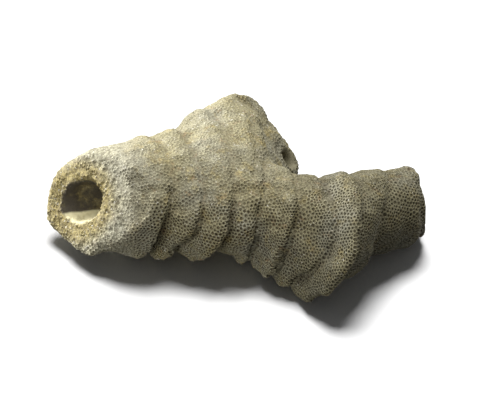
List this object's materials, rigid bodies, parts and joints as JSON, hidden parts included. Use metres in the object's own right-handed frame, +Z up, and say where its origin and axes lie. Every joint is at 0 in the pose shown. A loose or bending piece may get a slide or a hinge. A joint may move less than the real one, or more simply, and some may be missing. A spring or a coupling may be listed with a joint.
{
  "type": "branching bryozoan fossil",
  "caption": "Fossil bryozoan fragment: a hollow ridged stem that forks into a short rear stub and a longer side branch, with broken ends, lying on its lowest ridges.",
  "frame": {"origin": "middle of the part's plan, on the surface it lies on", "axes": "+X runs along the fossil from the hollow end to the side branch, +Y toward the rear stub, +Z up"},
  "size_m": [0.0266, 0.0184, 0.0089],
  "materials": {
    "stone": "matte"
  },
  "bodies": {
    "root": {"stem": "stone", "rear_branch": "stone", "right_branch": "stone"}
  },
  "joints": []
}
